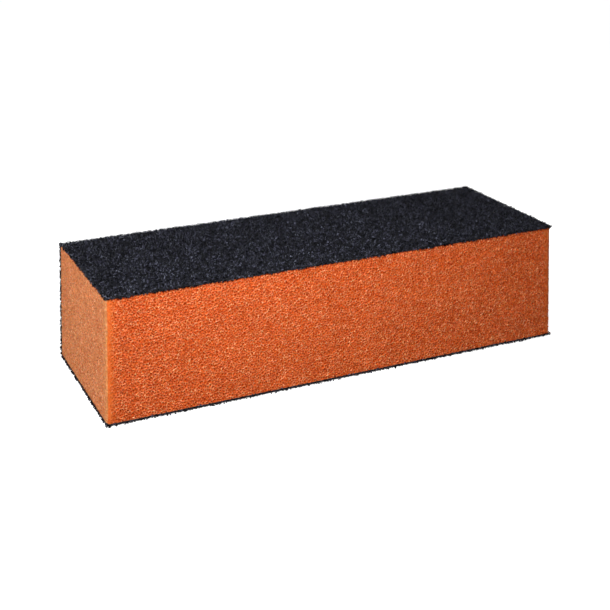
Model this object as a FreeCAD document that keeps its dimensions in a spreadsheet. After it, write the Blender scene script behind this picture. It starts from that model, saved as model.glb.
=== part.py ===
import FreeCAD, Part
import math
import os

import Sketcher

# Foam sanding block, in millimetres.
#
# Frame: +X runs along the block, +Z is up, and the bare foam face looks along -Y.  The origin is
# the centre of the underside.  The top, the underside and the back face (+Y) each carry an abrasive
# coat of three layers: a make coat on the foam, the grains, and a size coat over them.  The coats
# wrap the rounded back edges and meet there in a mitre, halfway round the edge.

DIMENSIONS = (
    ("block_length", 100.0, "end to end, along X"),
    ("block_width", 35.0, "bare front face to coated back face, along Y"),
    ("block_height", 24.5, "over both coated wide faces, along Z"),
    ("make_coat_depth", 0.12, "resin that glues the grains to the foam"),
    ("grit_depth", 0.26, "one layer of abrasive grains"),
    ("size_coat_depth", 0.07, "resin over the grains"),
    ("foam_edge_radius", 0.3, "rounding of the foam under the coat, along both back edges"),
)

COAT_DEPTH = "(Sizes.make_coat_depth + Sizes.grit_depth + Sizes.size_coat_depth)"
FRONT_REACH = "Sizes.block_width / 2"
FOAM_BACK = f"(Sizes.block_width / 2 - {COAT_DEPTH})"
FOAM_TOP = f"(Sizes.block_height - {COAT_DEPTH})"
ROUND_CENTRE_Y = f"{FOAM_BACK} - Sizes.foam_edge_radius"
UPPER_ROUND_CENTRE_Z = f"{FOAM_TOP} - Sizes.foam_edge_radius"
LOWER_ROUND_CENTRE_Z = f"{COAT_DEPTH} + Sizes.foam_edge_radius"

# Each layer of a coat lies between two depths, counted outwards from the foam.
LAYERS = (
    ("make_coat", "0", "Sizes.make_coat_depth"),
    ("grit", "Sizes.make_coat_depth", "(Sizes.make_coat_depth + Sizes.grit_depth)"),
    ("size_coat", "(Sizes.make_coat_depth + Sizes.grit_depth)", COAT_DEPTH),
)

MITRE = math.radians(45)
START, END, CENTRE = 1, 2, 3        # the point numbers that a sketch uses
ORIGIN = (-1, 1)                    # a sketch's own origin point
VOLUME_TOLERANCE = 1e-6             # share of the block's volume


def add_sheet(doc):
    """The spreadsheet of driving dimensions, one named cell to a row."""
    sheet = doc.addObject("Spreadsheet::Sheet", "Sizes")
    for row, (alias, value, note) in enumerate(DIMENSIONS, start=1):
        sheet.set(f"A{row}", alias)
        sheet.set(f"B{row}", str(value))
        sheet.setAlias(f"B{row}", alias)
        sheet.set(f"C{row}", note)
    doc.recompute()
    return sheet


def value_of(sheet, expression):
    """The number that an expression over the sheet's cells gives, for a sketch's first guess."""
    return float(sheet.evalExpression(expression.replace("Sizes.", "")))


def add_body(doc, label):
    body = doc.addObject("PartDesign::Body", label)
    body.Label = label
    body.Placement = FreeCAD.Placement()
    return body


def add_section_sketch(body, name):
    """A sketch across the block: its horizontal axis is +Y and its vertical axis is +Z."""
    plane = next(item for item in body.Origin.OriginFeatures if item.Role == "YZ_Plane")
    sketch = body.newObject("Sketcher::SketchObject", name)
    sketch.AttachmentSupport = [(plane, "")]
    sketch.MapMode = "FlatFace"
    return sketch


def bind(sketch, name, expression, kind, *where):
    """Add a dimension to a sketch, name it and tie it to the sheet."""
    guess = value_of(sketch.Document.Sizes, expression)
    index = sketch.addConstraint(Sketcher.Constraint(kind, *where, guess))
    sketch.renameConstraint(index, name)
    sketch.setExpression(f"Constraints.{name}", expression)


def relate(sketch, kind, *where):
    sketch.addConstraint(Sketcher.Constraint(kind, *where))


def line(sketch, start, end):
    points = (FreeCAD.Vector(*start), FreeCAD.Vector(*end))
    return sketch.addGeometry(Part.LineSegment(*points))


def arc(sketch, centre, radius, start_angle, end_angle):
    circle = Part.Circle(FreeCAD.Vector(*centre), FreeCAD.Vector(0, 0, 1), radius)
    return sketch.addGeometry(Part.ArcOfCircle(circle, start_angle, end_angle))


def polar(centre, radius, angle):
    return (centre[0] + radius * math.cos(angle), centre[1] + radius * math.sin(angle))


def pad_along_block(body, sketch):
    """Draw the section out to both ends of the block."""
    pad = body.newObject("PartDesign::Pad", f"{body.Label}_length")
    pad.Profile = sketch
    pad.SideType = "Symmetric"
    pad.setExpression("Length", "Sizes.block_length")
    return pad


def require_fixed(sketch):
    """Stop if a sketch still has a free dimension or one too many."""
    sketch.solve()
    if not sketch.FullyConstrained:
        raise RuntimeError(f"{sketch.Name} isn't fully constrained")
    if sketch.RedundantConstraints or sketch.ConflictingConstraints:
        raise RuntimeError(f"{sketch.Name} has constraints that repeat or conflict")


def build_foam_core(doc, sheet):
    """The foam bar: square at the bare front, rounded along the two coated back edges."""
    body = add_body(doc, "foam_core")
    sketch = add_section_sketch(body, "foam_core_section")
    front = -value_of(sheet, FRONT_REACH)
    back = value_of(sheet, FOAM_BACK)
    low = value_of(sheet, COAT_DEPTH)
    high = value_of(sheet, FOAM_TOP)

    corners = ((front, low), (back, low), (back, high), (front, high))
    sides = [line(sketch, corners[i], corners[(i + 1) % 4]) for i in range(4)]
    underside, rear, upper, bare = sides
    for i in range(4):
        relate(sketch, "Coincident", sides[i], END, sides[(i + 1) % 4], START)
    for side in (underside, upper):
        relate(sketch, "Horizontal", side)
    for side in (rear, bare):
        relate(sketch, "Vertical", side)
    bind(sketch, "front", FRONT_REACH, "DistanceX", underside, START, *ORIGIN)
    bind(sketch, "back", FOAM_BACK, "DistanceX", *ORIGIN, underside, END)
    bind(sketch, "low", COAT_DEPTH, "DistanceY", *ORIGIN, underside, START)
    bind(sketch, "high", FOAM_TOP, "DistanceY", *ORIGIN, upper, START)
    require_fixed(sketch)

    pad = pad_along_block(body, sketch)
    doc.recompute()
    rounding = body.newObject("PartDesign::Fillet", "foam_core_back_edges")
    rounding.Base = (pad, back_edge_names(pad.Shape))
    rounding.setExpression("Radius", "Sizes.foam_edge_radius")
    return body


def back_edge_names(shape):
    """The names of the two edges that run the block's length at its back face."""
    names = []
    for number, edge in enumerate(shape.Edges, start=1):
        box = edge.BoundBox
        runs_along = box.XLength > shape.BoundBox.XLength / 2
        at_back = box.YMin > shape.BoundBox.YMax - Part.Precision.confusion()
        if runs_along and at_back:
            names.append(f"Edge{number}")
    if len(names) != 2:
        raise RuntimeError("the foam's two back edges weren't found")
    return names


def build_wide_layer(doc, sheet, face, layer, inner, outer):
    """One layer on the top or the underside: flat, then round to the mitre at the back edge."""
    body = add_body(doc, f"{face}_{layer}")
    sketch = add_section_sketch(body, f"{face}_{layer}_section")
    side = 1 if face == "top" else -1
    centre_z = UPPER_ROUND_CENTRE_Z if face == "top" else LOWER_ROUND_CENTRE_Z
    front = -value_of(sheet, FRONT_REACH)
    centre = (value_of(sheet, ROUND_CENTRE_Y), value_of(sheet, centre_z))
    inner_radius = value_of(sheet, f"Sizes.foam_edge_radius + {inner}")
    outer_radius = value_of(sheet, f"Sizes.foam_edge_radius + {outer}")
    inner_z = centre[1] + side * inner_radius
    outer_z = centre[1] + side * outer_radius

    # An arc always runs anticlockwise, so its flat end is its second point on the top face and
    # its first point on the underside.
    if face == "top":
        sweep = (MITRE, math.pi / 2)
        at_flat, at_mitre = END, START
    else:
        sweep = (-math.pi / 2, -MITRE)
        at_flat, at_mitre = START, END

    inner_flat = line(sketch, (front, inner_z), (centre[0], inner_z))
    inner_round = arc(sketch, centre, inner_radius, *sweep)
    mitre = line(sketch, polar(centre, inner_radius, side * MITRE), polar(centre, outer_radius, side * MITRE))
    outer_round = arc(sketch, centre, outer_radius, *sweep)
    outer_flat = line(sketch, (centre[0], outer_z), (front, outer_z))
    bare_edge = line(sketch, (front, outer_z), (front, inner_z))

    relate(sketch, "Tangent", inner_flat, END, inner_round, at_flat)
    relate(sketch, "Coincident", inner_round, at_mitre, mitre, START)
    relate(sketch, "Coincident", mitre, END, outer_round, at_mitre)
    relate(sketch, "Tangent", outer_round, at_flat, outer_flat, START)
    relate(sketch, "Coincident", outer_flat, END, bare_edge, START)
    relate(sketch, "Coincident", bare_edge, END, inner_flat, START)
    relate(sketch, "Horizontal", inner_flat)
    relate(sketch, "Horizontal", outer_flat)
    relate(sketch, "Vertical", bare_edge)
    relate(sketch, "Coincident", inner_round, CENTRE, outer_round, CENTRE)
    relate(sketch, "PointOnObject", inner_round, CENTRE, mitre)
    relate(sketch, "Angle", mitre, side * MITRE)
    bind(sketch, "inner_radius", f"Sizes.foam_edge_radius + {inner}", "Radius", inner_round)
    bind(sketch, "outer_radius", f"Sizes.foam_edge_radius + {outer}", "Radius", outer_round)
    bind(sketch, "centre_y", ROUND_CENTRE_Y, "DistanceX", *ORIGIN, inner_round, CENTRE)
    bind(sketch, "centre_z", centre_z, "DistanceY", *ORIGIN, inner_round, CENTRE)
    bind(sketch, "front", FRONT_REACH, "DistanceX", inner_flat, START, *ORIGIN)
    require_fixed(sketch)

    pad_along_block(body, sketch)
    return body


def build_back_layer(doc, sheet, layer, inner, outer):
    """One layer on the back face: flat, with a round to the mitre at its top and bottom edges."""
    body = add_body(doc, f"back_{layer}")
    sketch = add_section_sketch(body, f"back_{layer}_section")
    centre_y = value_of(sheet, ROUND_CENTRE_Y)
    upper = (centre_y, value_of(sheet, UPPER_ROUND_CENTRE_Z))
    lower = (centre_y, value_of(sheet, LOWER_ROUND_CENTRE_Z))
    inner_radius = value_of(sheet, f"Sizes.foam_edge_radius + {inner}")
    outer_radius = value_of(sheet, f"Sizes.foam_edge_radius + {outer}")

    inner_flat = line(sketch, polar(lower, inner_radius, 0), polar(upper, inner_radius, 0))
    inner_upper = arc(sketch, upper, inner_radius, 0, MITRE)
    upper_mitre = line(sketch, polar(upper, inner_radius, MITRE), polar(upper, outer_radius, MITRE))
    outer_upper = arc(sketch, upper, outer_radius, 0, MITRE)
    outer_flat = line(sketch, polar(upper, outer_radius, 0), polar(lower, outer_radius, 0))
    outer_lower = arc(sketch, lower, outer_radius, -MITRE, 0)
    lower_mitre = line(sketch, polar(lower, outer_radius, -MITRE), polar(lower, inner_radius, -MITRE))
    inner_lower = arc(sketch, lower, inner_radius, -MITRE, 0)

    relate(sketch, "Tangent", inner_flat, END, inner_upper, START)
    relate(sketch, "Coincident", inner_upper, END, upper_mitre, START)
    relate(sketch, "Coincident", upper_mitre, END, outer_upper, END)
    relate(sketch, "Tangent", outer_upper, START, outer_flat, START)
    relate(sketch, "Tangent", outer_flat, END, outer_lower, END)
    relate(sketch, "Coincident", outer_lower, START, lower_mitre, START)
    relate(sketch, "Coincident", lower_mitre, END, inner_lower, START)
    relate(sketch, "Tangent", inner_lower, END, inner_flat, START)
    relate(sketch, "Vertical", inner_flat)
    relate(sketch, "Coincident", inner_upper, CENTRE, outer_upper, CENTRE)
    relate(sketch, "Coincident", inner_lower, CENTRE, outer_lower, CENTRE)
    relate(sketch, "PointOnObject", inner_upper, CENTRE, upper_mitre)
    relate(sketch, "PointOnObject", inner_lower, CENTRE, lower_mitre)
    relate(sketch, "Angle", upper_mitre, MITRE)
    relate(sketch, "Angle", lower_mitre, math.pi - MITRE)
    relate(sketch, "Equal", inner_upper, inner_lower)
    relate(sketch, "Equal", outer_upper, outer_lower)
    bind(sketch, "inner_radius", f"Sizes.foam_edge_radius + {inner}", "Radius", inner_upper)
    bind(sketch, "outer_radius", f"Sizes.foam_edge_radius + {outer}", "Radius", outer_upper)
    bind(sketch, "centre_y", ROUND_CENTRE_Y, "DistanceX", *ORIGIN, inner_upper, CENTRE)
    bind(sketch, "upper_centre_z", UPPER_ROUND_CENTRE_Z, "DistanceY", *ORIGIN, inner_upper, CENTRE)
    bind(sketch, "lower_centre_z", LOWER_ROUND_CENTRE_Z, "DistanceY", *ORIGIN, inner_lower, CENTRE)
    require_fixed(sketch)

    pad_along_block(body, sketch)
    return body


def build_block(doc, sheet):
    bodies = [build_foam_core(doc, sheet)]
    for layer, inner, outer in LAYERS:
        bodies.append(build_wide_layer(doc, sheet, "top", layer, inner, outer))
        bodies.append(build_wide_layer(doc, sheet, "bottom", layer, inner, outer))
        bodies.append(build_back_layer(doc, sheet, layer, inner, outer))
    doc.recompute()
    return bodies


def check_document(doc, bodies):
    """Stop before anything is written if an object failed or a solid is missing or broken."""
    for item in doc.Objects:
        if "Invalid" in item.State or "Error" in item.State:
            raise RuntimeError(f"{item.Name} failed: {item.State}")
    for body in bodies:
        shape = body.Shape
        if shape.isNull() or not shape.isValid() or len(shape.Solids) != 1:
            raise RuntimeError(f"{body.Label} isn't one valid solid")


def check_fill(sheet, bodies):
    """The core and its layers have to fill the outside of the block, with no gap or overlap."""
    length = value_of(sheet, "Sizes.block_length")
    width = value_of(sheet, "Sizes.block_width")
    height = value_of(sheet, "Sizes.block_height")
    radius = value_of(sheet, f"Sizes.foam_edge_radius + {COAT_DEPTH}")
    lost_at_round_edge = radius ** 2 * (1 - math.pi / 4)
    outside = length * (width * height - 2 * lost_at_round_edge)
    filled = sum(body.Shape.Volume for body in bodies)
    if abs(filled - outside) > VOLUME_TOLERANCE * outside:
        raise RuntimeError(f"the pieces fill {filled:.3f} mm3 of {outside:.3f} mm3")


def write_parts(bodies):
    os.makedirs("parts", exist_ok=True)
    for body in bodies:
        body.Shape.exportStep(os.path.join("parts", f"{body.Label}.step"))
        print(f"{body.Label}: {body.Shape.Volume:.1f} mm3")


document = FreeCAD.newDocument("sanding_block")
sizes = add_sheet(document)
pieces = build_block(document, sizes)
check_document(document, pieces)
check_fill(sizes, pieces)
write_parts(pieces)
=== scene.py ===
import math
from collections import namedtuple

import bpy
import numpy as np
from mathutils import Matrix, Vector
from mathutils.geometry import delaunay_2d_cdt


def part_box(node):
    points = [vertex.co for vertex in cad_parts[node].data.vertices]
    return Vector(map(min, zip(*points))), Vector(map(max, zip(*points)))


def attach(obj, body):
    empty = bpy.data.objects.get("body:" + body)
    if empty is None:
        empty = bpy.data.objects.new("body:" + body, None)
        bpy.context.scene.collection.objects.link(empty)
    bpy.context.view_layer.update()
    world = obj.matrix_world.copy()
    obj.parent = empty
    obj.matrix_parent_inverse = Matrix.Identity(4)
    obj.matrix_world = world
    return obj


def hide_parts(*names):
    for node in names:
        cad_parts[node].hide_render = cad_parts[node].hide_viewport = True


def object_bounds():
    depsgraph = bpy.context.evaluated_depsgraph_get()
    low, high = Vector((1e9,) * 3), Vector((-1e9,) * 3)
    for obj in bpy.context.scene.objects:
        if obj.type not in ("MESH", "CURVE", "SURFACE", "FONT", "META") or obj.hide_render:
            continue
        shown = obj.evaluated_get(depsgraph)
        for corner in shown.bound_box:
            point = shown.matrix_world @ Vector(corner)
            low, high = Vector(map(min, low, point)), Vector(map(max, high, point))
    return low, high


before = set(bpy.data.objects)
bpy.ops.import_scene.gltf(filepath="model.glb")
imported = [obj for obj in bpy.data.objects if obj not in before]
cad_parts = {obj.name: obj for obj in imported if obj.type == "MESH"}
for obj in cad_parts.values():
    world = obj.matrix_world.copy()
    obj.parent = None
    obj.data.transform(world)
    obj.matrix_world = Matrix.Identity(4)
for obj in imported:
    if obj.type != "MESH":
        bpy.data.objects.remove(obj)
cad_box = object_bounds()

# A foam sanding block: a bare orange foam core, and on its top, underside and back a black coat of
# make resin, abrasive grains and size resin.  Shapes are worked out in millimetres in the frame's own
# axes (+X along the block, the bare front looks along -Y, +Z up) and become metres in add_piece().

MM = 0.001
X, Y, Z = 0, 1, 2
SAME_PLACE = 1e-6           # two points closer than this are one point
DECIMALS = 3                # plane places are rounded to these, so that shared edges weld
WHITE = (1.0, 1.0, 1.0)


def in_mm(box):
    """The low and high corners of a box, in millimetres."""
    low, high = box
    return np.round(np.array(low) / MM, DECIMALS), np.round(np.array(high) / MM, DECIMALS)


CORE_LOW, CORE_HIGH = in_mm(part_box("foam_core"))
CORE_SIZE = np.round(CORE_HIGH - CORE_LOW, DECIMALS)
MAKE_DEPTH = in_mm(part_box("top_make_coat"))[1][Z] - CORE_HIGH[Z]
COAT_DEPTH = in_mm(cad_box)[1][Z] - CORE_HIGH[Z]

# The cells of a sawn face.  pitch is the distance between them, strut is the width of a strut on
# one cell's side, lip is how far it slopes down to the cell, and cup is the cell's depth below that.
# closed_share of the cells keep a membrane, and within about smooth_reach of a bare upright corner
# the relief fades.
Cut = namedtuple("Cut", "pitch strut lip cup closed_share smooth_reach")
FRONT_CUT = Cut(pitch=0.57, strut=0.06, lip=0.07, cup=0.13, closed_share=0.0, smooth_reach=1.3)
END_CUT = Cut(pitch=0.74, strut=0.08, lip=0.05, cup=0.26, closed_share=0.35, smooth_reach=1.8)
SMOOTHED = 0.85             # the share of the relief that is gone at a bare upright corner
MEMBRANE_DEPTH = 0.15       # a closed cell's depth, as a share of an open one's
RIM_LIMIT = 0.45            # a strut takes up at most this share of the way to the cell's middle
RIM_PORE = 0.12             # the painted shade of the colour runs from 0 on a strut to 1 at the bottom of a pit
MEMBRANE_PORE = 0.15
PAINTED_GLINT_RARITY = 2.5          # a higher power leaves fewer pale flecks of painted glint on the struts
WELD_GAP = 0.12             # a junction this close to a wanted place on a side moves to it

BACK_ROUND = 0.3            # rounding of the foam under the coat, along the back edges
BARE_ROUND = 1.0            # softness of the sawn upright edges at the front
CUT_ROUND = 0.12            # softness of every other sawn edge
CORNER_FRAY = 0.04          # how far the junctions on the bare upright corners wander

GRAIN_PITCH = 0.425         # distance between grains in the coat
GRAIN_RADIUS = 0.155        # of a middling grain
LOOSE_GRAIN = 1.2           # how much bigger the loose grains along the edges are
EDGE_STEP = 0.2             # spacing of the loose grains along a coat's bare edges
EDGE_PAST = 0.14            # how far they hang past those edges
GRAIN_STAND = 0.2           # the coat stands this far above the floor, on its proudest grains


# ---------------------------------------------------------------- meshes

def add_piece(name, points, triangles, material, node):
    """A closed mesh from points in millimetres, riding on the block in place of a CAD node."""
    mesh = bpy.data.meshes.new(name)
    mesh.vertices.add(len(points))
    mesh.vertices.foreach_set("co", (np.asarray(points) * MM).astype(np.float32).ravel())
    mesh.loops.add(triangles.size)
    mesh.loops.foreach_set("vertex_index", triangles.astype(np.int32).ravel())
    mesh.polygons.add(len(triangles))
    mesh.polygons.foreach_set("loop_start", np.arange(0, triangles.size, 3, dtype=np.int32))
    mesh.update(calc_edges=True)
    mesh.shade_flat()
    mesh.materials.append(material)
    piece = bpy.data.objects.new(name, mesh)
    bpy.context.scene.collection.objects.link(piece)
    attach(piece, "root")
    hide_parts(node)
    return piece


def store(piece, name, values):
    """Keep one number per point on a mesh, for its material to read."""
    layer = piece.data.attributes.new(name, "FLOAT", "POINT")
    layer.data.foreach_set("value", np.asarray(values, np.float32))


def scattered(rng, width, height, pitch, jitter, margin=0.0):
    """Points about one pitch apart in a rectangle: a hexagonal grid with every point shaken."""
    rows = max(2, round((height - 2 * margin) / (pitch * math.sqrt(3) / 2)))
    columns = max(2, round((width - 2 * margin) / pitch))
    row, column = np.meshgrid(np.arange(rows), np.arange(columns), indexing="ij")
    u = (column + 0.25 + 0.5 * (row % 2)) * (width - 2 * margin) / columns + margin
    v = (row + 0.5) * (height - 2 * margin) / rows + margin
    points = np.column_stack((u.ravel(), v.ravel()))
    return points + rng.uniform(-jitter, jitter, points.shape) * pitch


# ---------------------------------------------------------------- foam cells

class CellNet:
    """A rectangle cut up into the irregular cells of sawn foam.

    junctions are the points where struts meet, and each loop lists one cell's junctions in
    anticlockwise order.
    """

    def __init__(self, rng, width, height, pitch):
        self.size = np.array([width, height])
        inset = 0.2 * pitch
        gap = 0.12 * pitch
        sites = scattered(rng, width, height, pitch, jitter=0.6)
        sites = np.clip(sites, inset, self.size - inset)
        everything = self.with_mirror_images(sites, reach=3 * pitch)
        triangles = delaunay(everything)
        centres = self.on_rectangle(circumcentres(everything, triangles))
        joined, self.junctions = join_close(centres, neighbours(triangles), gap, self.size)
        self.loops = self.cell_loops(sites, triangles, centres, joined)
        self.drop_unused()

    def with_mirror_images(self, sites, reach):
        """The sites and their reflections in the four sides, which put cell walls on the sides."""
        points = sites
        for axis in (0, 1):
            low = points[points[:, axis] < reach].copy()
            low[:, axis] *= -1
            high = points[points[:, axis] > self.size[axis] - reach].copy()
            high[:, axis] = 2 * self.size[axis] - high[:, axis]
            points = np.vstack((points, low, high))
        return points

    def on_rectangle(self, points):
        """Points within rounding error of a side are put exactly on it."""
        for axis in (0, 1):
            for side in (0.0, self.size[axis]):
                near = np.abs(points[:, axis] - side) < SAME_PLACE
                points[near, axis] = side
        return points

    def cell_loops(self, sites, triangles, centres, joined):
        """Each site's cell: the joined centres of the triangles round it, by their angle."""
        around = [[] for _ in sites]
        for number, corners in enumerate(triangles):
            for corner in corners:
                if corner < len(sites):
                    around[corner].append(number)
        loops = []
        for site, touching in zip(sites, around):
            touching = np.array(touching)
            arms = centres[touching] - site
            ring = joined[touching[np.argsort(np.arctan2(arms[:, 1], arms[:, 0]))]]
            loops.append([int(j) for i, j in enumerate(ring) if j != ring[i - 1]])
        return loops

    def drop_unused(self):
        """Leave out the junctions that no cell has, such as those past the sides."""
        used = np.unique(np.concatenate(self.loops))
        number = np.zeros(len(self.junctions), int)
        number[used] = np.arange(len(used))
        self.junctions = self.junctions[used]
        self.loops = [[int(number[j]) for j in loop] for loop in self.loops]

    def on_side(self, axis, value):
        """The junctions on one side of the rectangle."""
        return np.flatnonzero(self.junctions[:, axis] == value)

    def side_values(self, axis, value):
        """Where along one side its junctions are, in rising order."""
        return np.unique(self.junctions[self.on_side(axis, value), 1 - axis])

    def match_side(self, axis, value, wanted, gap=WELD_GAP):
        """Give one side a junction at each wanted place, by moving one within gap or by adding one."""
        along = 1 - axis
        for place in wanted:
            side = self.on_side(axis, value)
            distance = np.abs(self.junctions[side, along] - place)
            nearest = side[np.argmin(distance)]
            if distance.min() < SAME_PLACE:
                continue
            taken = np.isin(self.junctions[nearest, along], (0.0, self.size[along], *wanted))
            if distance.min() < gap and not taken:
                self.junctions[nearest, along] = place
            else:
                self.add_side_junction(axis, value, place)

    def add_side_junction(self, axis, value, place):
        """Put a junction into the cell edge that runs past a place on one side."""
        along = 1 - axis
        point = np.empty(2)
        point[axis], point[along] = value, place
        for loop in self.loops:
            for i, start in enumerate(loop):
                end = loop[(i + 1) % len(loop)]
                pair = self.junctions[[start, end]]
                on_side = np.all(pair[:, axis] == value)
                if on_side and pair[:, along].min() < place < pair[:, along].max():
                    self.junctions = np.vstack((self.junctions, point))
                    loop.insert(i + 1, len(self.junctions) - 1)
                    return


def delaunay(points):
    """The triangles of a plane set of points, as rows of point numbers."""
    vectors = [Vector(point) for point in points]
    made = delaunay_2d_cdt(vectors, [], [], 0, SAME_PLACE)
    source = np.array([ids[0] for ids in made[3]])
    return source[np.array(made[2])]


def circumcentres(points, triangles):
    """The centre of the circle through each triangle's corners."""
    a, b, c = (points[triangles[:, i]] for i in range(3))
    b, c = b - a, c - a
    twice_area = 2 * (b[:, 0] * c[:, 1] - b[:, 1] * c[:, 0])
    bb, cc = (b ** 2).sum(1), (c ** 2).sum(1)
    x = (c[:, 1] * bb - b[:, 1] * cc) / twice_area
    y = (b[:, 0] * cc - c[:, 0] * bb) / twice_area
    return a + np.column_stack((x, y))


def neighbours(triangles):
    """Pairs of triangles that share an edge."""
    edges = np.vstack((triangles[:, [0, 1]], triangles[:, [1, 2]], triangles[:, [2, 0]]))
    edges = np.sort(edges, axis=1)
    owner = np.tile(np.arange(len(triangles)), 3)
    order = np.lexsort((edges[:, 1], edges[:, 0]))
    edges, owner = edges[order], owner[order]
    same = np.all(edges[1:] == edges[:-1], axis=1)
    return np.column_stack((owner[:-1][same], owner[1:][same]))


def join_close(points, pairs, gap, size):
    """Join neighbouring points closer than gap.  Gives each point's group, and each group's place."""
    group = np.arange(len(points))
    close = pairs[np.linalg.norm(points[pairs[:, 0]] - points[pairs[:, 1]], axis=1) < gap]
    for first, second in close:
        low, high = sorted((group[first], group[second]))
        group[group == high] = low
    _, group = np.unique(group, return_inverse=True)
    count = np.bincount(group)
    middles = np.column_stack([np.bincount(group, points[:, axis]) / count for axis in (0, 1)])
    for axis in (0, 1):
        for side in (0.0, size[axis]):
            middles[group[points[:, axis] == side], axis] = side
    return group, np.round(middles, DECIMALS)


def cell_corners(net):
    """Every corner of every cell in one list.

    Gives the number of corners of each cell and, for each corner, its junction, its cell and where
    in the list the cell's next corner stands.
    """
    counts = np.array([len(loop) for loop in net.loops])
    junction = np.concatenate(net.loops)
    cell = np.repeat(np.arange(len(counts)), counts)
    first = np.repeat(np.cumsum(counts) - counts, counts)
    following = first + (np.arange(len(junction)) - first + 1) % counts[cell]
    return counts, junction, cell, following


def relief(rng, net, cut):
    """The sawn surface over a net of cells, as plane places, heights, triangles and looks.

    Each cell is a cup.  Its rim is the strut round it, thin along its middle and thick at the
    junctions, and a closed cell still has its membrane just under the cut.  The looks are three
    values for each point: a random shade, how deep in a cell it lies, which sets the painted shade
    of the pits, and how strong a pale fleck of painted glint it carries.
    """
    counts, junction, cell, following = cell_corners(net)
    cells, corners, junctions = len(counts), len(junction), len(net.junctions)

    middle = (net.junctions[junction] + net.junctions[junction[following]]) / 2
    centre = np.column_stack([np.bincount(cell, middle[:, axis]) / counts for axis in (0, 1)])
    inward = centre[cell] - middle
    reach = np.linalg.norm(inward, axis=1)[:, None]
    width = cut.strut * rng.uniform(0.7, 1.4, (corners, 1))
    rim = middle + inward * np.minimum(width / reach, RIM_LIMIT)

    cup = cut.cup * rng.uniform(0.55, 1.45, cells)
    closed = rng.random(cells) < cut.closed_share
    cup[closed] *= MEMBRANE_DEPTH
    # A closed cell's membrane gets a painted glint of random strength.
    membrane_painted_glint = np.where(closed, rng.uniform(0.1, 0.6, cells), 0.0)
    junction_height = rng.normal(0, cut.lip * 0.5, junctions)
    on_side = np.any((net.junctions == 0) | (net.junctions == net.size), axis=1)
    junction_height[on_side] = 0
    rim_height = -cut.lip * rng.uniform(0.2, 1.6, corners)
    centre_height = -cut.lip - cup

    rim_id = junctions + np.arange(corners)
    centre_id = junctions + corners + cell
    triangles = np.vstack((
        np.column_stack((junction, junction[following], rim_id)),
        np.column_stack((junction[following], rim_id[following], rim_id)),
        np.column_stack((rim_id, rim_id[following], centre_id)),
    ))
    places = np.vstack((net.junctions, rim, centre))
    heights = np.concatenate((junction_height, rim_height, centre_height))

    tone = rng.random(cells)
    shade = np.concatenate((rng.random(junctions), tone[cell], tone))
    centre_pore = np.where(closed, MEMBRANE_PORE, 1.0)
    pore = np.concatenate((np.zeros(junctions), np.full(corners, RIM_PORE), centre_pore))
    # Pale flecks at some junctions and on the membranes are painted glints.
    painted_glint = np.concatenate((rng.random(junctions) ** PAINTED_GLINT_RARITY, membrane_painted_glint[cell], membrane_painted_glint))
    return places, heights, triangles, (shade, pore, painted_glint)


def sheet_triangles(outline, inner, rows):
    """Triangles of a flat sheet from its outline points, loose inner points and straight rows."""
    points = list(outline) + list(inner)
    edges = [(i, (i + 1) % len(outline)) for i in range(len(outline))]
    for row in rows:
        edges += [(len(points) + i, len(points) + i + 1) for i in range(len(row) - 1)]
        points += list(row)
    made = delaunay_2d_cdt([Vector(point) for point in points], edges, [], 1, SAME_PLACE)
    return np.round([tuple(point) for point in made[0]], DECIMALS), np.array(made[2])


def round_edge(points, first, second, radius):
    """Round the square edge between two faces of the block, given as (axis, place, side)."""
    (axis_a, place_a, side_a), (axis_b, place_b, side_b) = first, second
    a = side_a * (points[:, axis_a] - place_a) / radius + 1
    b = side_b * (points[:, axis_b] - place_b) / radius + 1
    inside = (a > 0) & (b > 0)
    a, b = a[inside], b[inside]
    shrink = np.maximum(a, b) / np.hypot(a, b)
    points[inside, axis_a] = place_a + side_a * (a * shrink - 1) * radius
    points[inside, axis_b] = place_b + side_b * (b * shrink - 1) * radius


def core_faces():
    """The foam bar's six faces as (axis, place, side)."""
    front = (Y, CORE_LOW[Y], -1)
    back = (Y, CORE_HIGH[Y], 1)
    left = (X, CORE_LOW[X], -1)
    right = (X, CORE_HIGH[X], 1)
    under = (Z, CORE_LOW[Z], -1)
    top = (Z, CORE_HIGH[Z], 1)
    return front, back, left, right, under, top


def wrap_point(along, around):
    """A point on the core's square-edged top, back and underside, by distance round from the front."""
    depth, height = CORE_SIZE[Y], CORE_SIZE[Z]
    knots = (0, depth, depth + height, 2 * depth + height)
    y = np.interp(around, knots, (CORE_LOW[Y], CORE_HIGH[Y], CORE_HIGH[Y], CORE_LOW[Y]))
    z = np.interp(around, knots, (CORE_HIGH[Z], CORE_HIGH[Z], CORE_LOW[Z], CORE_LOW[Z]))
    return np.column_stack((CORE_LOW[X] + along, y, z))


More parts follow.
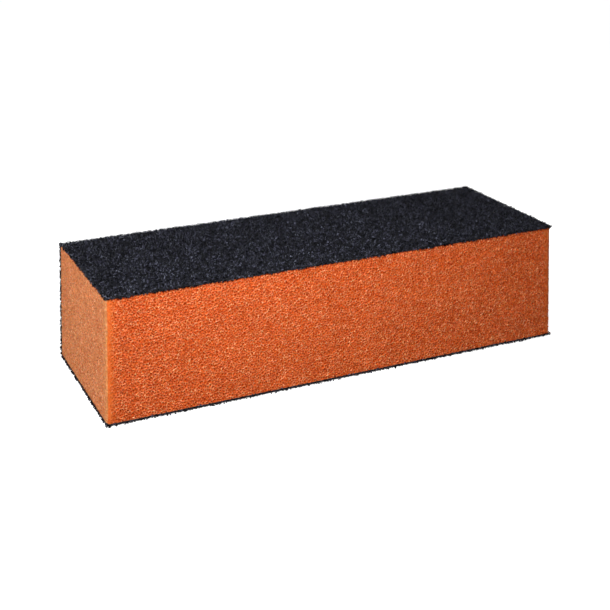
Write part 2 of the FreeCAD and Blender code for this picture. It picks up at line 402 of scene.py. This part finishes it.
def build_foam_core(material, seed):
    """The whole foam bar as one closed skin: three sawn faces and the sheet under the coats."""
    rng = np.random.default_rng(seed)
    length, depth, height = CORE_SIZE
    front_net = CellNet(rng, length, height, FRONT_CUT.pitch)
    left_net = CellNet(rng, depth, height, END_CUT.pitch)
    right_net = CellNet(rng, depth, height, END_CUT.pitch)
    match_nets(front_net, left_net, right_net)

    # The left end is drawn from back to front and the right end from front to back, so that both
    # are anticlockwise from outside.
    left_origin = (CORE_LOW[X], CORE_HIGH[Y], CORE_LOW[Z])
    right_origin = (CORE_HIGH[X], CORE_LOW[Y], CORE_LOW[Z])
    flat, lifted, triangles, *looks = weld_blocks([
        sawn_face(rng, front_net, FRONT_CUT, CORE_LOW, (1, 0, 0), (0, -1, 0), (0.0, length)),
        sawn_face(rng, left_net, END_CUT, left_origin, (0, -1, 0), (-1, 0, 0), (depth,)),
        sawn_face(rng, right_net, END_CUT, right_origin, (0, 1, 0), (1, 0, 0), (0.0,)),
        hidden_sheet(front_net, left_net, right_net),
    ])
    fray_bare_corners(rng, flat, lifted)
    soften_edges(lifted)

    piece = add_piece("foam_core_cells", lifted, triangles, material, "foam_core")
    for name, values in zip(("shade", "pore", "painted_glint", "corner", "end_face"), looks):
        store(piece, name, values)


def match_nets(front_net, left_net, right_net):
    """Give the nets the same junctions where two faces meet, and rows for the back rounding."""
    length, depth, height = CORE_SIZE
    for net, front_side, back_side, front_end in (
        (left_net, depth, 0.0, 0.0), (right_net, 0.0, depth, length),
    ):
        for share in (0.5, 1.0):
            step = BACK_ROUND * share
            near_back = abs(back_side - step)
            for level in (0.0, height):
                net.match_side(1, level, [near_back])
            net.match_side(0, back_side, [step, height - step])
        net.match_side(0, front_side, front_net.side_values(0, front_end))
        front_net.match_side(0, front_end, net.side_values(0, front_side), gap=0.0)


def sawn_face(rng, net, cut, origin, across, outward, bare_sides):
    """One sawn face: its flat and lifted points, its triangles and its looks.

    The net's first axis runs across the face from the origin, and its second runs up.  bare_sides
    are the places across where the face meets another bare one.
    """
    places, heights, triangles, looks = relief(rng, net, cut)
    from_corner = np.min([np.abs(places[:, 0] - side) for side in bare_sides], axis=0)
    corner = np.exp(-(from_corner / cut.smooth_reach) ** 2)
    heights = heights * (1 - SMOOTHED * corner)
    flat = np.array(origin) + places[:, :1] * np.array(across) + places[:, 1:] * np.array((0, 0, 1))
    lifted = flat + heights[:, None] * np.array(outward)
    end_face = np.full(len(places), 1.0 if cut is END_CUT else 0.0)
    return flat, lifted, triangles, *looks, corner, end_face


def fray_bare_corners(rng, flat, lifted):
    """Shake the junctions along the two upright corners at the front."""
    fray = rng.normal(0, 1, lifted.shape)

    def on_face(face):
        axis, place, _ = face
        return np.abs(flat[:, axis] - place) < SAME_PLACE

    front, _, left, right, _, _ = core_faces()
    on_corner = on_face(front) & (on_face(left) | on_face(right))
    lifted[on_corner] += fray[on_corner] * CORNER_FRAY


def soften_edges(points):
    """Round every edge of the bar, the upright ones at the front the most."""
    front, back, left, right, under, top = core_faces()
    for end in (left, right):
        round_edge(points, front, end, BARE_ROUND)
        for face in (top, under, back):
            round_edge(points, face, end, CUT_ROUND)
    for face in (top, under):
        round_edge(points, front, face, CUT_ROUND)
    for face in (top, under):
        round_edge(points, back, face, BACK_ROUND)


def hidden_sheet(front_net, left_net, right_net):
    """The foam under the three coats: one sheet round the top, the back and the underside."""
    length, depth, height = CORE_SIZE
    around = 2 * depth + height

    def end_outline(net, front_side, back_side):
        """Distances round from the front for an end's junctions, without the two at the front."""
        top = np.abs(net.side_values(1, height) - front_side)
        back = depth + height - net.side_values(0, back_side)
        under = around - np.abs(net.side_values(1, 0.0) - front_side)
        distances = np.unique(np.round(np.concatenate((top, back, under)), DECIMALS))
        return distances[(distances > SAME_PLACE) & (distances < around - SAME_PLACE)]

    top_edge = [(u, 0.0) for u in front_net.side_values(1, height)]
    right_edge = [(length, s) for s in end_outline(right_net, 0.0, depth)]
    under_edge = [(u, around) for u in front_net.side_values(1, 0.0)[::-1]]
    left_edge = [(0.0, s) for s in end_outline(left_net, depth, 0.0)[::-1]]
    outline = top_edge + right_edge + under_edge + left_edge

    # Straight rows carry the rounding of the back edges, and a loose grid fills the flat parts.
    back_edges = (depth, depth + height)
    row_points = 41
    rows = []
    for edge in back_edges:
        for offset in (-1.0, -0.5, 0.0, 0.5, 1.0):
            level = round(edge + offset * BACK_ROUND, DECIMALS)
            rows.append([(u, level) for u in np.linspace(0, length, row_points)])
    spacing, margin, clearance = 4, 3, 1
    inner = [
        (u, s)
        for u in np.arange(spacing, length - margin, spacing)
        for s in np.arange(margin, around - margin + 1, spacing)
        if min(abs(s - edge) for edge in back_edges) > clearance
    ]
    points, triangles = sheet_triangles(outline, inner, rows)
    place = wrap_point(points[:, 0], points[:, 1])
    shade = np.full(len(place), 0.5)
    pore = painted_glint = corner = end_face = np.zeros(len(place))
    return place, place.copy(), triangles, shade, pore, painted_glint, corner, end_face


def weld_blocks(blocks):
    """Put the surfaces together, joining points that share a place on the block's square edges.

    Only points that aren't lifted off their face are joined: each of the others gets a key far out
    of the block, which no other point has.
    """
    flat = np.vstack([block[0] for block in blocks])
    offsets = np.cumsum([0] + [len(block[0]) for block in blocks[:-1]])
    triangles = np.vstack([block[2] + offset for block, offset in zip(blocks, offsets)])
    lifted = np.vstack([block[1] for block in blocks])
    moved = np.abs(lifted - flat).max(axis=1) >= 1e-9
    keys = np.round(flat, DECIMALS)
    outside = 1000.0
    keys[moved] += np.arange(len(flat))[moved, None] * outside + outside
    _, kept, joined = np.unique(keys, axis=0, return_index=True, return_inverse=True)
    looks = [np.concatenate([block[i] for block in blocks])[kept] for i in range(3, len(blocks[0]))]
    return flat[kept], lifted[kept], joined.ravel()[triangles], *looks


# ---------------------------------------------------------------- coats

class Wrap:
    """Distances round the coated outline, from the front edge of the top to that of the underside.

    The rounded back edges are counted at the middle of the coat, so that grains sit evenly.
    """

    def __init__(self):
        inner_y = CORE_HIGH[Y] - BACK_ROUND
        low_z = CORE_LOW[Z] + BACK_ROUND
        high_z = CORE_HIGH[Z] - BACK_ROUND
        wide = inner_y - CORE_LOW[Y]
        tall = high_z - low_z
        bend = (BACK_ROUND + COAT_DEPTH / 2) * math.pi / 2
        self.knots = np.cumsum((0, wide, bend, tall, bend, wide))
        self.axis_y = (CORE_LOW[Y], inner_y, inner_y, inner_y, inner_y, CORE_LOW[Y])
        self.axis_z = (high_z, high_z, high_z, low_z, low_z, low_z)
        self.angle = np.radians((90, 90, 0, 0, -90, -90))
        first_mitre = self.knots[1] + bend / 2
        last_mitre = self.knots[3] + bend / 2
        self.spans = {
            "top": (0.0, first_mitre),
            "back": (first_mitre, last_mitre),
            "bottom": (last_mitre, self.knots[-1]),
        }

    def angle_at(self, around):
        return np.interp(around, self.knots, self.angle)

    def place(self, along, around, lift):
        """Points at a lift above the foam.  A distance past either front edge overhangs the front."""
        angle = self.angle_at(around)
        overhang = np.maximum(0, -around) + np.maximum(0, around - self.knots[-1])
        y = np.interp(around, self.knots, self.axis_y) - overhang + (BACK_ROUND + lift) * np.cos(angle)
        z = np.interp(around, self.knots, self.axis_z) + (BACK_ROUND + lift) * np.sin(angle)
        return np.column_stack((CORE_LOW[X] + along, y, z))


def ripple(along, around, scale, seed):
    """A smooth wandering value of about -1 to 1, from a few crossed waves about scale long."""
    rng = np.random.default_rng(seed)
    waves = 7
    total = np.zeros_like(along)
    for _ in range(waves):
        turn, phase = rng.uniform(0, 2 * math.pi, 2)
        wavelength = scale * rng.uniform(0.6, 1.7)
        travelled = along * math.cos(turn) + around * math.sin(turn)
        total += np.sin(travelled * 2 * math.pi / wavelength + phase)
    return total / (waves / 2)


def edge_bead(wrap, along, around):
    """1 beside a bare edge of the coats, where the resin stands thicker, and 0 elsewhere."""
    from_end = np.minimum(along, CORE_SIZE[X] - along)
    from_front = np.minimum(around, wrap.knots[-1] - around)
    return np.where(np.minimum(from_end, from_front) < EDGE_STEP, 1.0, 0.0)


def slab(rng, wrap, span, edge_step, fray, inner, lower, upper):
    """A thin closed sheet of resin on the wrap, as points and triangles, with frayed bare edges.

    inner holds the sheet's loose points, and lower and upper give the lift of each of its sides at
    plane places.
    """
    length = CORE_SIZE[X]
    start, end = span
    along = np.linspace(0, length, round(length / edge_step) + 1)
    around = np.linspace(start, end, round((end - start) / edge_step) + 1)[1:-1]

    def frayed(count, is_bare=True):
        """How far an edge's points stick out.  An edge on a mitre stays straight."""
        return rng.normal(0.5, 1, count) * fray if is_bare else np.zeros(count)

    first = np.column_stack((along, start - frayed(len(along), start == 0)))
    last = np.column_stack((along[::-1], end + frayed(len(along), end == wrap.knots[-1])))
    right = np.column_stack((length + frayed(len(around)), around))
    left = np.column_stack((-frayed(len(around)), around[::-1]))
    outline = np.vstack((first, right, last, left))
    points, triangles = sheet_triangles(outline, inner, [])
    rim = np.arange(len(outline))
    if not np.allclose(points[rim], outline, atol=1e-3):
        raise RuntimeError("the sheet's outline points were reordered")

    count = len(points)
    under = wrap.place(points[:, 0], points[:, 1], lower(points[:, 0], points[:, 1]))
    over = wrap.place(points[:, 0], points[:, 1], upper(points[:, 0], points[:, 1]))
    after = np.roll(rim, -1)
    walls = np.vstack((
        np.column_stack((rim, after, after + count)),
        np.column_stack((rim, after + count, rim + count)),
    ))
    return np.vstack((under, over)), np.vstack((triangles[:, ::-1], triangles + count, walls))


def build_make_coat(wrap, face, material, seed):
    """The make resin: it soaks unevenly into the foam, so its edge wanders over the bare faces."""
    rng = np.random.default_rng(seed)
    start, end = wrap.spans[face]
    soak, lower_wave, upper_wave = 0.05, 0.03, 0.02
    inner = scattered(rng, CORE_SIZE[X], end - start, pitch=2.0, jitter=0.2, margin=0.8) + (0, start)
    points, triangles = slab(
        rng, wrap, (start, end), edge_step=0.22, fray=0.05, inner=inner,
        lower=lambda u, s: -soak + lower_wave * ripple(u, s, 0.9, seed),
        upper=lambda u, s: MAKE_DEPTH + upper_wave * ripple(u, s, 1.3, seed + 1),
    )
    node = f"{face}_make_coat"
    add_piece(f"{node}_resin", points, triangles, material, node)


def build_size_coat(wrap, face, material, seed):
    """The size resin: a thin bumpy film that fills the gaps between the grains."""
    rng = np.random.default_rng(seed)
    start, end = wrap.spans[face]
    film, bump, bead = 0.08, 0.03, 0.15
    sunk = MAKE_DEPTH * 0.8
    inner = scattered(rng, CORE_SIZE[X], end - start, pitch=0.55, jitter=0.25, margin=0.3) + (0, start)
    bumps = rng.normal(0, 1, 1 << 16)

    def upper(u, s):
        """Each place finds its bump in the table by a number mixed from its two distances."""
        mixed = np.round(u * 97).astype(int) * 31 + np.round(s * 89).astype(int)
        own_bump = np.clip(bumps[mixed % len(bumps)], -1.5, 2)
        return MAKE_DEPTH + film + bump * own_bump + bead * edge_bead(wrap, u, s)

    points, triangles = slab(
        rng, wrap, (start, end), edge_step=0.3, fray=0.04, inner=inner,
        lower=lambda u, s: np.full(len(u), sunk), upper=upper,
    )
    node = f"{face}_size_coat"
    add_piece(f"{node}_resin", points, triangles, material, node)


def build_grit(wrap, face, material, seed):
    """One layer of sharp grains: most are bedded in the resin, and some hang loose at the edges."""
    rng = np.random.default_rng(seed)
    start, end = wrap.spans[face]
    bedded = scattered(rng, CORE_SIZE[X], end - start, GRAIN_PITCH, jitter=0.36) + (0, start)
    loose = edge_places(rng, wrap, (start, end))
    places = np.vstack((bedded, loose))
    radius = np.clip(rng.normal(GRAIN_RADIUS, 0.03, len(places)), 0.09, 0.22)
    radius[len(bedded):] *= LOOSE_GRAIN
    lift = np.concatenate((
        MAKE_DEPTH + rng.uniform(0.16, 0.25, len(bedded)),
        rng.uniform(-0.12, 0.44, len(loose)),
    ))
    centre = wrap.place(places[:, 0], places[:, 1], lift)
    points, triangles = crystals(rng, centre, radius)
    node = f"{face}_grit"
    piece = add_piece(f"{node}_grains", points, triangles, material, node)
    store(piece, "shade", np.repeat(rng.random(len(places)), len(points) // len(places)))


def crystals(rng, centre, radius):
    """A closed crystal of eight facets round each centre, lopsided and turned at random."""
    count = len(centre)
    corners = np.array([(1, 0, 0), (-1, 0, 0), (0, 1, 0), (0, -1, 0), (0, 0, 1), (0, 0, -1)], float)
    facets = np.array([
        (0, 2, 4), (2, 1, 4), (1, 3, 4), (3, 0, 4),
        (2, 0, 5), (1, 2, 5), (3, 1, 5), (0, 3, 5),
    ])
    shape = corners * rng.uniform(0.65, 1.3, (count, 6, 1)) + rng.normal(0, 0.14, (count, 6, 3))
    shape *= radius[:, None, None]
    turned = np.einsum("nij,nkj->nki", random_turns(rng, count), shape)
    points = (centre[:, None, :] + turned).reshape(-1, 3)
    triangles = (facets[None] + len(corners) * np.arange(count)[:, None, None]).reshape(-1, 3)
    return points, triangles


def edge_places(rng, wrap, span):
    """Plane places of the loose grains along a coat's bare edges, hanging a little past them."""
    length = CORE_SIZE[X]
    start, end = span
    along = np.arange(0, length, EDGE_STEP)
    around = np.arange(start, end, EDGE_STEP)
    rows = [
        np.column_stack((np.full(len(around), side), around))
        for side in (-EDGE_PAST, length + EDGE_PAST)
    ]
    if start == 0:
        rows.append(np.column_stack((along, np.full(len(along), -EDGE_PAST))))
    if end == wrap.knots[-1]:
        rows.append(np.column_stack((along, np.full(len(along), end + EDGE_PAST))))
    places = np.vstack(rows)
    return places + rng.uniform(-0.5, 0.5, places.shape) * EDGE_STEP


def random_turns(rng, count):
    """Rotation matrices in even spread, from random unit quaternions."""
    w, x, y, z = rng.normal(size=(count, 4)).T
    size = np.sqrt(w * w + x * x + y * y + z * z)
    w, x, y, z = w / size, x / size, y / size, z / size
    return np.stack((
        np.stack((1 - 2 * (y * y + z * z), 2 * (x * y - z * w), 2 * (x * z + y * w)), axis=1),
        np.stack((2 * (x * y + z * w), 1 - 2 * (x * x + z * z), 2 * (y * z - x * w)), axis=1),
        np.stack((2 * (x * z - y * w), 2 * (y * z + x * w), 1 - 2 * (x * x + y * y)), axis=1),
    ), axis=1)


# ---------------------------------------------------------------- materials

def new_material(name):
    """A new material with its node tree and its shader."""
    material = bpy.data.materials.new(name)
    material.use_nodes = True
    tree = material.node_tree
    return material, tree, tree.nodes["Principled BSDF"]


def set_inputs(node, values):
    for name, value in values.items():
        node.inputs[name].default_value = value


def grey(value):
    return (value, value, value)


def add_ramp(tree, source, stops):
    """A colour ramp over source.  stops are (position, linear colour)."""
    ramp = tree.nodes.new("ShaderNodeValToRGB")
    elements = ramp.color_ramp.elements
    while len(elements) < len(stops):
        elements.new(0.5)
    for element, (position, colour) in zip(elements, stops):
        element.position = position
        element.color = (*colour, 1)
    tree.links.new(source, ramp.inputs["Fac"])
    return ramp.outputs["Color"]


def add_mix(tree, mode, factor, first, second):
    """Two colours mixed.  Each input is a socket, a number or a linear colour."""
    mix = tree.nodes.new("ShaderNodeMix")
    mix.data_type = "RGBA"
    mix.blend_type = mode
    for socket, value in ((mix.inputs[0], factor), (mix.inputs[6], first), (mix.inputs[7], second)):
        if isinstance(value, bpy.types.NodeSocket):
            tree.links.new(value, socket)
        elif isinstance(value, float):
            socket.default_value = value
        else:
            socket.default_value = (*value, 1)
    return mix.outputs[2]


def tinted(tree, colour, tint):
    """A colour multiplied by another."""
    return add_mix(tree, "MULTIPLY", 1.0, colour, tint)


def attribute(tree, name):
    """A number kept on the mesh by store()."""
    node = tree.nodes.new("ShaderNodeAttribute")
    node.attribute_name = name
    return node.outputs["Fac"]


def noise(tree, size_mm):
    """Noise in object space whose features are about size_mm across."""
    coordinates = tree.nodes.new("ShaderNodeTexCoord")
    node = tree.nodes.new("ShaderNodeTexNoise")
    set_inputs(node, {"Scale": 1 / (size_mm * MM), "Detail": 2.0})
    tree.links.new(coordinates.outputs["Object"], node.inputs["Vector"])
    return node.outputs["Fac"]


def add_bump(tree, shader, strength, height_mm, size_mm):
    """Fine surface roughness from noise of about size_mm."""
    bump = tree.nodes.new("ShaderNodeBump")
    set_inputs(bump, {"Strength": strength, "Distance": height_mm * MM})
    tree.links.new(noise(tree, size_mm), bump.inputs["Height"])
    tree.links.new(bump.outputs["Normal"], shader.inputs["Normal"])


def foam_material():
    """Orange polyurethane: deep and sparkling on the front, where the pale flecks are painted glints,
    and paler and more matt on the ends, where the paler colour is a painted sheen.  The darker pits of
    both are painted shade.
    """
    material, tree, shader = new_material("foam")
    pore = attribute(tree, "pore")
    corner = attribute(tree, "corner")
    front = front_colour(tree, pore, corner)
    ends_with_sheen = end_colour_with_sheen(tree, pore, corner)
    colour = add_mix(tree, "MIX", attribute(tree, "end_face"), front, ends_with_sheen)
    cell_tone = add_ramp(tree, attribute(tree, "shade"), ((0.0, (0.80, 0.68, 0.58)), (0.8, WHITE)))
    patches = add_ramp(tree, noise(tree, size_mm=6.0), ((0.3, (0.92, 0.88, 0.86)), (0.7, WHITE)))
    colour = tinted(tree, tinted(tree, colour, cell_tone), patches)
    tree.links.new(colour, shader.inputs["Base Color"])
    shine = add_ramp(tree, pore, ((0.0, grey(0.55)), (0.25, grey(0.2)), (1.0, grey(0.0))))
    tree.links.new(shine, shader.inputs["Specular IOR Level"])
    set_inputs(shader, {
        "Specular Tint": (1.0, 0.72, 0.48, 1),
        "Roughness": 0.4,
        "Subsurface Weight": 0.25,
        "Subsurface Radius": (1.0, 0.3, 0.1),
        "Subsurface Scale": 0.3 * MM,
    })
    add_bump(tree, shader, strength=0.35, height_mm=0.06, size_mm=0.12)
    return material


def front_colour(tree, pore, corner):
    """Redder pits, darkened with painted shade, between orange struts, with pale flecks of painted glint
    and a speckle finer than the cells.
    """
    # The darker, redder pits are painted shade in the cells' hollows.
    struts, rims, shaded_pits = (0.70, 0.141, 0.032), (0.68, 0.130, 0.026), (0.57, 0.064, 0.006)
    colour = add_ramp(tree, pore, ((0.0, struts), (0.2, rims), (1.0, shaded_pits)))
    # The pale flecks mixed in here are painted glints.
    colour = add_mix(tree, "MIX", attribute(tree, "painted_glint"), colour, (1.0, 0.56, 0.30))
    speckle = add_ramp(tree, noise(tree, size_mm=0.26), ((0.38, (0.53, 0.32, 0.15)), (0.58, WHITE)))
    return add_mix(tree, "MIX", corner, tinted(tree, colour, speckle), (0.60, 0.126, 0.022))


def end_colour_with_sheen(tree, pore, corner):
    """Paler struts, a painted sheen, and brown pits darkened with painted shade, under a soft mottle,
    palest at the sawn corner.
    """
    # The ends' paler, whiter colour is a painted sheen, and their darker pits are painted shade.
    struts, rims, shaded_pits = (0.68, 0.268, 0.112), (0.62, 0.220, 0.091), (0.29, 0.074, 0.025)
    colour = add_ramp(tree, pore, ((0.0, struts), (0.3, rims), (1.0, shaded_pits)))
    colour = add_mix(tree, "MIX", corner, colour, (0.70, 0.305, 0.118))
    mottle = add_ramp(tree, noise(tree, size_mm=0.42), ((0.38, (0.62, 0.55, 0.51)), (0.62, WHITE)))
    return tinted(tree, colour, mottle)


def grain_material():
    """Black silicon carbide: most grains are dark, and clusters of them glint blue-grey, from their
    shine and from a painted glint, a paler blue-grey colour on some grains.
    """
    material, tree, shader = new_material("abrasive_grain")
    # The palest blue-grey grain colour is a painted glint, and the clusters gather it into patches, as
    # they do the shine.
    dull, middling, painted_glint_grey = (0.002, 0.002, 0.003), (0.0060, 0.0058, 0.0098), (0.068, 0.067, 0.106)
    colour = add_ramp(tree, attribute(tree, "shade"), ((0.0, dull), (0.5, middling), (1.0, painted_glint_grey)))
    clusters = add_ramp(tree, noise(tree, size_mm=0.55), ((0.43, grey(0.05)), (0.59, grey(0.72))))
    tree.links.new(tinted(tree, colour, clusters), shader.inputs["Base Color"])
    tree.links.new(clusters, shader.inputs["Specular IOR Level"])
    shader.inputs["Specular Tint"].default_value = (0.72, 0.78, 1.0, 1)
    roughness = tree.nodes.new("ShaderNodeMapRange")
    set_inputs(roughness, {"To Min": 0.35, "To Max": 0.55})
    tree.links.new(noise(tree, size_mm=0.2), roughness.inputs["Value"])
    tree.links.new(roughness.outputs["Result"], shader.inputs["Roughness"])
    return material


def resin_material(name, dark, pale, roughness):
    """Dark resin, a little uneven in colour and surface."""
    material, tree, shader = new_material(name)
    colour = add_ramp(tree, noise(tree, size_mm=0.5), ((0.3, dark), (0.7, pale)))
    tree.links.new(colour, shader.inputs["Base Color"])
    shader.inputs["Roughness"].default_value = roughness
    add_bump(tree, shader, strength=0.5, height_mm=0.05, size_mm=0.15)
    return material


def floor_material():
    """A pale floor.  The camera sees it nearly white, and the block gets less light back from it."""
    material, tree, shader = new_material("pale_floor")
    seen = tree.nodes.new("ShaderNodeLightPath").outputs["Is Camera Ray"]
    colour = add_mix(tree, "MIX", seen, grey(0.08), grey(0.90))
    glow = add_mix(tree, "MIX", seen, grey(0.0), grey(0.88))
    tree.links.new(colour, shader.inputs["Base Color"])
    tree.links.new(glow, shader.inputs["Emission Color"])
    set_inputs(shader, {"Emission Strength": 1.0, "Roughness": 0.9, "Specular IOR Level": 0.1})
    return material


# ---------------------------------------------------------------- studio

def add_floor():
    reach = 3.0
    mesh = bpy.data.meshes.new("floor")
    corners = [(-reach, -reach, 0), (reach, -reach, 0), (reach, reach, 0), (-reach, reach, 0)]
    mesh.from_pydata(corners, [], [(0, 1, 2, 3)])
    mesh.materials.append(floor_material())
    floor = bpy.data.objects.new("floor", mesh)
    floor.location.z = cad_box[0].z - GRAIN_STAND * MM
    bpy.context.scene.collection.objects.link(floor)


def add_area_light(name, position, aim, size, power, colour=WHITE):
    """A round lamp.  position, aim and size are in metres, and power is in watts."""
    light = bpy.data.lights.new(name, "AREA")
    light.shape = "DISK"
    light.size = size
    light.energy = power
    light.color = colour
    lamp = bpy.data.objects.new(name, light)
    lamp.location = position
    lamp.visible_camera = False
    lamp.rotation_euler = (Vector(aim) - Vector(position)).to_track_quat("-Z", "Y").to_euler()
    bpy.context.scene.collection.objects.link(lamp)


def add_lights():
    """A close lamp over the front, one further off at each end, and a cool one low behind."""
    waist = 0.012
    add_area_light("key", (-0.032, -0.090, 0.092), aim=(-0.02, 0, waist), size=0.06, power=0.20)
    add_area_light("left_fill", (-0.19, -0.035, 0.064), aim=(-0.05, 0, waist), size=0.08, power=0.32)
    add_area_light("right_fill", (0.19, 0.055, 0.018), aim=(0.05, 0, waist), size=0.03, power=0.30)
    add_area_light("back_fill", (0.02, 0.24, 0.022), aim=(0, 0.017, waist), size=0.08, power=0.13,
                   colour=(0.85, 0.92, 1.0))


def add_world(strength):
    """Even soft light of a given strength, in front of a white backdrop."""
    world = bpy.data.worlds.new("studio")
    world.use_nodes = True
    tree = world.node_tree
    seen = tree.nodes.new("ShaderNodeLightPath").outputs["Is Camera Ray"]
    colour = add_mix(tree, "MIX", seen, grey(strength), WHITE)
    tree.links.new(colour, tree.nodes["Background"].inputs["Color"])
    bpy.context.scene.world = world


def add_camera():
    """A nearly level camera at the left of the bare front, with its lens shifted down to the block.

    The shift keeps the block's uprights upright.  It and the soft focus belong to this viewpoint, so
    their drivers drop them when the camera stands anywhere else.
    """
    home = Vector((-109.12, -229.58, 107.13)) * MM
    turn_right, look_down = math.radians(25.14), math.radians(3.343)
    near_home = 1.0 * MM

    data = bpy.data.cameras.new("camera")
    data.lens = 71.15
    data.sensor_width = 36
    data.clip_start = 0.01
    data.clip_end = 20
    data.dof.use_dof = True
    data.dof.focus_distance = 0.237
    camera = bpy.data.objects.new("camera", data)
    camera.location = home
    camera.rotation_euler = (math.pi / 2 - look_down, 0, -turn_right)
    bpy.context.scene.collection.objects.link(camera)
    bpy.context.scene.camera = camera

    for owner, setting, at_home, elsewhere in (
        (data, "shift_y", -0.6349, 0.0),
        (data.dof, "aperture_fstop", 30, 500),
    ):
        driver = owner.driver_add(setting).driver
        where = driver.variables.new()
        where.name = "x"
        where.type = "TRANSFORMS"
        where.targets[0].id = camera
        where.targets[0].transform_type = "LOC_X"
        driver.expression = f"{at_home} if abs(x - {home.x:.5f}) < {near_home} else {elsewhere}"


def build_block():
    """Every piece of the block, each with its own seed."""
    build_foam_core(foam_material(), seed=11)
    wrap = Wrap()
    grain = grain_material()
    make_resin = resin_material("make_resin", (0.006, 0.005, 0.005), (0.016, 0.014, 0.014), 0.65)
    size_resin = resin_material("size_resin", (0.002, 0.002, 0.003), (0.007, 0.007, 0.010), 0.5)
    for number, face in enumerate(("top", "bottom", "back")):
        build_make_coat(wrap, face, make_resin, seed=100 + number)
        build_grit(wrap, face, grain, seed=200 + number)
        build_size_coat(wrap, face, size_resin, seed=300 + number)


def build_studio():
    add_floor()
    add_world(strength=0.14)
    add_lights()
    add_camera()
    bpy.context.scene.view_settings.view_transform = "Standard"


build_block()
build_studio()
